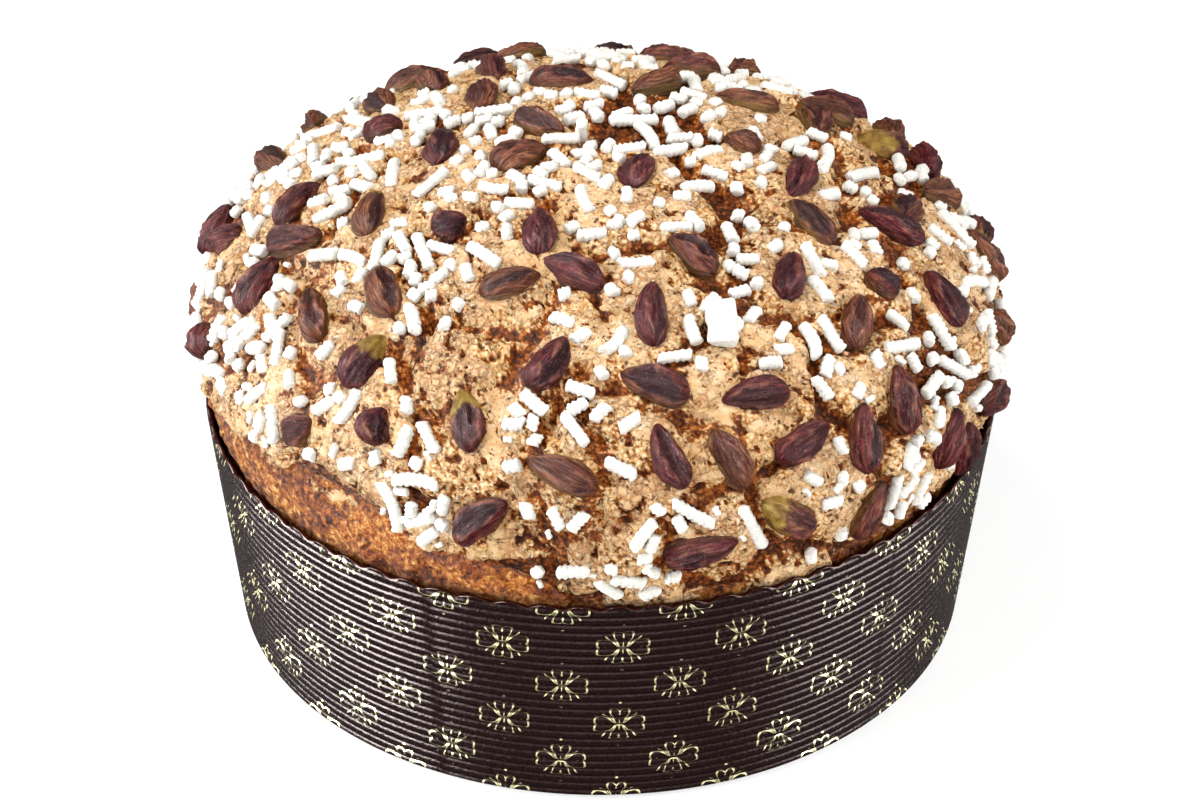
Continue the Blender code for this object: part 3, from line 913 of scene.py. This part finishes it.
def make_case():
    """The ribbed paper case with its scalloped rim."""
    azimuth = even_azimuths(CASE_COLUMNS)
    waves = rim_height(azimuth) - CASE_HEIGHT
    wall = CASE_HEIGHT - BASE_ROUNDING

    def ring_at(height):
        """A ring of the wall, scalloped more and more close to the rim."""
        share = max(0.0, (height - CASE_HEIGHT + SCALLOP_REACH) / SCALLOP_REACH)
        return case_surface(azimuth, height + waves * share)

    steps = int(round(wall / RIB_PITCH * RIB_STEPS))
    rounding = 1 - BASE_ROUNDING / BASE_RADIUS
    thinning = 1 - PAPER / RIM_RADIUS
    rings = [case_surface(azimuth, np.zeros(CASE_COLUMNS)) * (rounding, rounding, 1)]
    for step in range(steps + 1):
        rings.append(ring_at(BASE_ROUNDING + wall * step / steps))
    outer_count = len(rings)
    for step in range(CASE_BACK_RINGS + 1):
        height = CASE_HEIGHT - (wall - PAPER) * step / CASE_BACK_RINGS
        rings.append(ring_at(height) * (thinning, thinning, 1))
    rings.append(rings[-1] * (rounding, rounding, 0) + (0, 0, PAPER))
    faces = ring_faces(len(rings), CASE_COLUMNS)
    total = len(rings) * CASE_COLUMNS
    ring = np.arange(CASE_COLUMNS)
    faces.append(np.stack([np.roll(ring, -1), ring, np.full(CASE_COLUMNS, total)], 1))
    top = ring + total - CASE_COLUMNS
    faces.append(np.stack([top, np.roll(top, -1), np.full(CASE_COLUMNS, total + 1)], 1))
    inside = np.zeros(total + 2)
    inside[(outer_count - 1) * CASE_COLUMNS:] = 1.0
    inside[-2] = 0.0
    centres = [[0, 0, 0], [0, 0, PAPER]]
    made = mesh_object("ribbed_case", rings + [centres], faces, paper_finish(), inside=inside)
    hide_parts("paper_case")


def motif_strokes():
    """Points and width of each stroke of the flower, its quarters mirrored."""
    strokes = []
    for up in (1, -1):
        for right, part in ((1, MIDDLE_STROKES), (1, QUARTER_STROKES), (-1, QUARTER_STROKES)):
            for width, places in part:
                strokes.append((np.reshape(places, (-1, 2)) * (right, up), width))
    for right in (1, -1):
        width, places = SIDE_STROKE
        strokes.append((np.reshape(places, (-1, 2)) * (right, 1), width))
    return strokes


def rounded(points):
    """A smooth curve through a stroke's points."""
    points = np.array(points, float)
    if len(points) < 3:
        return points
    ends = np.concatenate([points[:1], points, points[-1:]])
    t = np.linspace(0, 1, 6, endpoint=False)[:, None]
    curve = []
    for a, b, c, d in zip(ends, ends[1:], ends[2:], ends[3:]):
        curve.append(0.5 * (2 * b + (c - a) * t + (2 * a - 5 * b + 4 * c - d) * t ** 2
                            + (3 * b - a - 3 * c + d) * t ** 3))
    return np.concatenate(curve + [points[-1:]])


def resampled(points, step):
    """A polyline with points about a step apart."""
    points = rounded(points)
    lengths = np.linalg.norm(np.diff(points, axis=0), axis=1)
    travelled = np.concatenate([[0.0], np.cumsum(lengths)])
    count = max(3, int(math.ceil(travelled[-1] / step)) + 1)
    at = np.linspace(0.0, travelled[-1], count)
    return np.stack([np.interp(at, travelled, line) for line in points.T], 1)


def ribbon(points, width):
    """Left, middle and right lines of a stroke that narrows at its ends, with its quads."""
    ahead = np.gradient(points, axis=0)
    ahead /= np.linalg.norm(ahead, axis=1, keepdims=True) + 1e-12
    beside = np.stack([-ahead[:, 1], ahead[:, 0]], 1)
    share = np.linspace(-1, 1, len(points))
    half = width / 2 * np.sqrt(np.clip(1.04 - share ** 6, 0.04, 1))
    lines = np.stack([points + beside * half[:, None], points, points - beside * half[:, None]], 1)
    faces = []
    for i in range(len(points) - 1):
        for j in (0, 1):
            a = 3 * i + j
            faces.append((a, a + 1, a + 4, a + 3))
    return lines.reshape(-1, 2), np.array(faces)


def make_print():
    """The gold ornament: staggered rows of flowers drawn on the ribs."""
    flat = []
    faces = []
    total = 0
    for points, width in motif_strokes():
        line, quads = ribbon(resampled(points, PRINT_STEP / MM), width)
        flat.append(line)
        faces.append(quads + total)
        total += len(line)
    flat = np.concatenate(flat) * MM
    faces = np.concatenate(faces)
    all_points, all_faces, dips = [], [], []
    count = 0
    for row in range(MOTIF_ROWS):
        level = MOTIF_TOP_ROW - row * MOTIF_ROW_PITCH
        stagger = 0.0 if row % 2 else 0.5
        for column in range(MOTIF_COLUMNS):
            turn = MOTIF_AZIMUTH + (column + stagger) * math.tau / MOTIF_COLUMNS
            height = level + flat[:, 1]
            azimuth = turn + flat[:, 0] / RIM_RADIUS + MOTIF_SKEW * (CASE_HEIGHT - height)
            inside = (height < rim_height(azimuth) - PRINT_MARGIN) & (height > BASE_ROUNDING)
            kept = faces[inside[faces].all(axis=1)]
            points = case_surface(azimuth, height)
            outward = unit(points * (1, 1, 0))
            used, numbers = np.unique(kept, return_inverse=True)
            all_points.append((points + outward * PRINT_LIFT)[used])
            dips.append(rib(height + SEAM_SHIFT * seam(azimuth))[used])
            all_faces.append(numbers.reshape(-1, 4) + count)
            count += len(used)
    dip = np.concatenate(dips)
    made = mesh_object("gold_print", all_points, all_faces, print_finish(), dip=dip)


def nut_sides():
    """Angles around a nut, close together on the part that shows above the glaze."""
    shown = np.linspace(radians(-28), radians(208), NUT_SIDES - 3)
    hidden = np.radians((235.0, 270.0, 305.0))
    return np.concatenate([shown, hidden])


def grid_noise(along, around, stretch, width, shift, octaves=1):
    """Noise at a grid of places along a rod and angles around it."""
    points = np.stack([stretch * along + shift, width * np.cos(around), width * np.sin(around)], -1)
    return noise_at(points.reshape(-1, 3), 1.0, octaves).reshape(along.shape)


def nut_body(nut, draw):
    """Points and values of one pistachio in its own frame: ridged, pointed and a little bent."""
    along = np.sin(np.linspace(-1, 1, NUT_RINGS) * math.pi / 2)
    u, v = np.meshgrid(along, nut_sides(), indexing="ij")
    shift = draw.uniform(0, 100)
    point = np.where(u > 0, draw.uniform(1.7, 2.3), draw.uniform(2.3, 3.4))
    profile = np.clip(1 - np.abs(u) ** point, 0, 1) ** 0.60
    profile = profile * (1 - draw.uniform(0.05, 0.22) * u)
    middle = math.pi / 2 + draw.uniform(-0.7, 0.7)
    veins = grid_noise(u, v, 1.1, 3.4, shift, 3)
    waves = grid_noise(u, v, 2.2, 1.0, shift)
    spread = draw.uniform(0.4, 0.95) * (1 - 0.5 * u ** 2) + 0.45 * waves
    aside = np.abs(wrapped(v - middle - 0.35 * u * draw.uniform(-1, 1)))
    ridge = bell(aside - spread, 0.15) * smooth(spread, 0.1, 0.3)
    crown = smooth(spread - aside, -0.02, 0.14) * smooth(1 - np.abs(u), 0.05, 0.30)
    facets = 0.05 * np.cos(3 * v + draw.uniform(0, 6)) + 0.04 * np.cos(5 * v + draw.uniform(0, 6))
    swell = 1 + 0.17 * veins + 0.12 * ridge * (1 - 0.5 * u ** 2) - 0.12 * crown + facets
    bend = draw.uniform(-1.0, 1.0) * MM * (u ** 2 - 0.4)
    x = u * nut.length / 2 * (1 + 0.03 * veins)
    y = 0.86 * np.cos(v) * profile * nut.width / 2 * swell + bend
    z = np.sin(v) * profile * (NUT_HEIGHT + 0.5 * MM) * swell
    body = np.stack([x, y, z - 0.2 * MM], -1).reshape(-1, 3)
    cap = draw.uniform(0.45, 1.0) * crown
    lower = smooth(0.62 - np.sin(v), 0.0, 0.55)
    values = {"along": u, "side": v * 0.9 * np.sqrt(profile + 0.05), "ridge": ridge * (1 - u ** 4),
              "crown": cap, "low": lower}
    return body, {label: value.ravel() for label, value in values.items()}


def tube_faces(rings, sides):
    """Triangles of a closed tube of rings, each end closed across its ring."""
    faces = ring_faces(rings, sides)
    for ring, order in ((0, -1), ((rings - 1) * sides, 1)):
        corner = np.arange(sides) + ring
        fan = np.stack([np.full(sides - 2, corner[0]), corner[1:-1], corner[2:]], 1)
        faces.append(fan[:, ::order])
    return np.concatenate(faces)


def placed(points, matrix):
    """Points carried by a matrix."""
    turn = np.array(matrix.to_3x3())
    return points @ turn.T + np.array(matrix.translation)


def make_nuts(nuts):
    """All the pistachios as one piece, each with its own wrinkles, tilt and colour."""
    draw = random.Random(NUT_SEED + 1)
    faces = tube_faces(NUT_RINGS, NUT_SIDES)
    points, all_faces = [], []
    values = {label: [] for label in ("along", "side", "ridge", "crown", "low", "tint", "torn")}
    for number, nut in enumerate(nuts):
        body, found = nut_body(nut, draw)
        tilt = Euler((draw.uniform(-0.25, 0.25), draw.uniform(-0.07, 0.07), 0.0))
        all_faces.append(faces + number * len(body))
        points.append(placed(body, nut.matrix() @ tilt.to_matrix().to_4x4()))
        found["tint"] = np.full(len(body), draw.uniform(0, 1))
        edge = draw.uniform(-0.4, 0.6) if draw.uniform(0, 1) < 0.12 else 2.0
        rough = noise_at(body, 5 * MM, 2, 3.0 * number)
        found["torn"] = smooth(found["along"] + 0.5 * rough, edge, edge + 0.05)
        for label, numbers in found.items():
            values[label].append(numbers)
    values = {label: np.concatenate(numbers) for label, numbers in values.items()}
    made = mesh_object("pistachios", points, all_faces, nut_finish(), **values)
    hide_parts("glaze")


def stick_body(stick, draw, number):
    """Points of one sugar stick: faint rings, worn ends and a slight bend."""
    half = stick.length / 2
    radius = 0.93 * stick.width / 2
    rings = int(stick.length / (0.85 * MM)) + 5
    corner = 1 - 0.10 * radius / half
    middle = np.linspace(-1, 1, rings - 4) * (1 - 0.42 * radius / half)
    stations = np.concatenate([[-1.0, -corner], middle, [corner, 1.0]])
    around = even_azimuths(STICK_SIDES)
    scale = np.ones(rings)
    scale[[0, -1]] = draw.uniform(0.35, 0.7), draw.uniform(0.35, 0.7)
    scale[[1, -2]] = draw.uniform(0.75, 0.9), draw.uniform(0.75, 0.9)
    beaded = draw.uniform(0.04, 0.15)
    scale[2:-2] += beaded * np.cos(np.arange(rings - 4) * math.pi)
    u, v = np.meshgrid(stations, around, indexing="ij")
    worn = grid_noise(u, v, half / MM * 0.7, 1.3, 50 * number)
    reach = radius * scale[:, None] * (1 + 0.22 * worn)
    bend = draw.choice((0.06, 0.06, 0.25)) * draw.uniform(-1, 1) * half * u ** 2
    slant = draw.uniform(-0.5, 0.5) * np.cos(v) + draw.uniform(-0.4, 0.4) * np.sin(v)
    x = u * half + slant * radius * 0.6 * np.abs(u) ** 3
    lift = draw.uniform(-0.04, 0.04) * u * half
    body = np.stack([x, reach * np.cos(v) + bend, reach * np.sin(v) + SUGAR_RAISED + lift], -1)
    return body.reshape(-1, 3), rings


def scatter_crumbs(nuts, sticks):
    """Broken bits of sugar beside the sticks, clear of the nuts."""
    draw = random.Random(SUGAR_SEED + 2)
    crumbs = []
    for stick in sticks:
        if draw.uniform(0, 1) > CRUMB_SHARE or stick.normal.z > 0.8:
            continue
        ahead = stick.along * draw.uniform(-5, 5) * MM
        place = stick.centre + (ahead + stick.across * draw.choice((-1, 1)) * 3.4 * MM)
        azimuth = math.atan2(place.y, place.x)
        latitude = float(latitude_at(min(place.z, WIDEST_HEIGHT + DOME_RISE)))
        width = draw.uniform(1.4, 2.3) * MM
        heading = draw.uniform(0, math.pi)
        crumb = Topping(azimuth, latitude, heading, width * draw.uniform(1.1, 1.7), width)
        if (crumb.centre - place).length > 3 * MM or not crumb.clears_edge():
            continue
        if all(crumb.distance(nut) > (nut.width + width) / 2 for nut in nuts):
            crumbs.append(crumb)
    return crumbs


def slab_body():
    """Points of the flat sugar slab: squared edges, worn corners and an uneven top."""
    stations = np.array([-1, -0.99, -0.95, *np.linspace(-0.88, 0.88, 17), 0.95, 0.99, 1])
    shrink = np.array([0.45, 0.8, 0.95, *np.ones(17), 0.95, 0.8, 0.45])
    around = even_azimuths(SLAB_SIDES)
    u, v = np.meshgrid(stations, around, indexing="ij")
    side = np.sign(np.cos(v)) * np.abs(np.cos(v)) ** 0.4 * shrink[:, None]
    rise = np.sign(np.sin(v)) * np.abs(np.sin(v)) ** 0.6 * shrink[:, None]
    body = np.stack([u * SLAB_LENGTH, side * SLAB_WIDTH, rise * SLAB_THICKNESS], -1) / 2
    body = body.reshape(-1, 3)
    worn = noise_at(body, 4 * MM, 2, 50.0)
    body *= 1 + 0.14 * worn[:, None]
    body[:, 2] += SLAB_RAISED + 0.45 * MM * noise_at(body, 2.2 * MM, 3, 60.0)
    return body, len(stations)


def make_sugar(sticks):
    """All the sugar sticks and crumbs, and one flat slab, as one piece."""
    draw = random.Random(SUGAR_SEED + 1)
    points, all_faces = [], []
    total = 0
    for number, stick in enumerate(sticks):
        body, rings = stick_body(stick, draw, number)
        all_faces.append(tube_faces(rings, STICK_SIDES) + total)
        points.append(placed(body, stick.matrix()))
        total += len(body)
    slab = Topping(SLAB_AZIMUTH, SLAB_LATITUDE, SLAB_HEADING, SLAB_LENGTH, SLAB_THICKNESS)
    body, rings = slab_body()
    all_faces.append(tube_faces(rings, SLAB_SIDES) + total)
    points.append(placed(body, slab.matrix()))
    made = mesh_object("sugar_sticks", points, all_faces, sugar_finish())
    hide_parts("glaze")


def make_floor():
    """A plain white floor that runs far back."""
    mesh = bpy.data.meshes.new("floor")
    reach = 6.0
    corners = [(-reach, -reach, 0), (reach, -reach, 0), (reach, reach, 0), (-reach, reach, 0)]
    mesh.from_pydata(corners, [], [(0, 1, 2, 3)])
    made = bpy.data.objects.new("floor", mesh)
    finish = Finish("floor_white", Roughness=0.9, Emission_Color=(1.0, 1.0, 1.0, 1.0),
                    Emission_Strength=0.48)
    tone = finish.noise(400 * MM, 1.0)
    finish.link(finish.mix(tone, (0.41, 0.41, 0.41, 1.0), (0.43, 0.43, 0.43, 1.0)), "Base Color")
    mesh.materials.append(finish.material)
    bpy.context.scene.collection.objects.link(made)
    made.visible_glossy = False


def add_light(name, location, size, power, sheen_only=False):
    """A soft box aimed at the loaf, or one that only shows as a sheen on glossy surfaces."""
    lamp = bpy.data.lights.new(name, "AREA")
    lamp.shape = "RECTANGLE"
    lamp.size, lamp.size_y = size
    lamp.energy = power
    made = bpy.data.objects.new(name, lamp)
    made.location = location
    aim = Vector((0.0, 0.0, LIT_HEIGHT)) - Vector(location)
    made.rotation_euler = aim.to_track_quat("-Z", "Y").to_euler()
    made.visible_diffuse = not sheen_only
    bpy.context.scene.collection.objects.link(made)


def make_light_and_camera():
    """White surroundings, soft boxes, sheen on the paper, and the camera."""
    scene = bpy.context.scene
    world = bpy.data.worlds.new("studio")
    world.use_nodes = True
    around = world.node_tree.nodes["Background"].inputs
    around["Color"].default_value = (1.0, 1.0, 1.0, 1.0)
    around["Strength"].default_value = 0.35
    scene.world = world
    add_light("key", (-0.38, -0.05, 1.20), (0.35, 0.35), 10.9)
    add_light("front", (0.15, -1.25, 0.75), (0.7, 0.4), 8.3)
    add_light("left", (-1.05, -0.45, 0.55), (0.6, 0.6), 3.9)
    add_light("right", (1.1, -0.25, 0.5), (0.5, 0.6), 4.9)
    add_light("left_sheen", (-0.92, -0.27, 0.37), (0.98, 0.66), 165.0, sheen_only=True)
    add_light("right_sheen", (0.94, -0.20, 0.37), (1.05, 0.66), 62.0, sheen_only=True)
    add_light("front_sheen", (0.0, -0.98, 0.34), (1.20, 0.40), 4.5, sheen_only=True)
    lens = bpy.data.cameras.new("camera")
    lens.lens = CAMERA_LENS
    lens.sensor_width = SENSOR_WIDTH
    camera = bpy.data.objects.new("camera", lens)
    camera.location = (0.0, -CAMERA_DISTANCE * math.cos(CAMERA_ELEVATION),
                       AIM_HEIGHT + CAMERA_DISTANCE * math.sin(CAMERA_ELEVATION))
    camera.rotation_euler = (math.pi / 2 - CAMERA_ELEVATION, 0.0, 0.0)
    scene.collection.objects.link(camera)
    scene.camera = camera
    scene.view_settings.view_transform = "Standard"
    scene.view_settings.look = "Medium High Contrast"


make_light_and_camera()
make_floor()
noise.seed_set(WARP_SEED)
nuts = scatter_nuts()
sticks = scatter_sugar(nuts)
make_case()
make_print()
make_loaf()
make_glaze(nuts, sticks)
make_nuts(nuts)
make_sugar(sticks + scatter_crumbs(nuts, sticks))
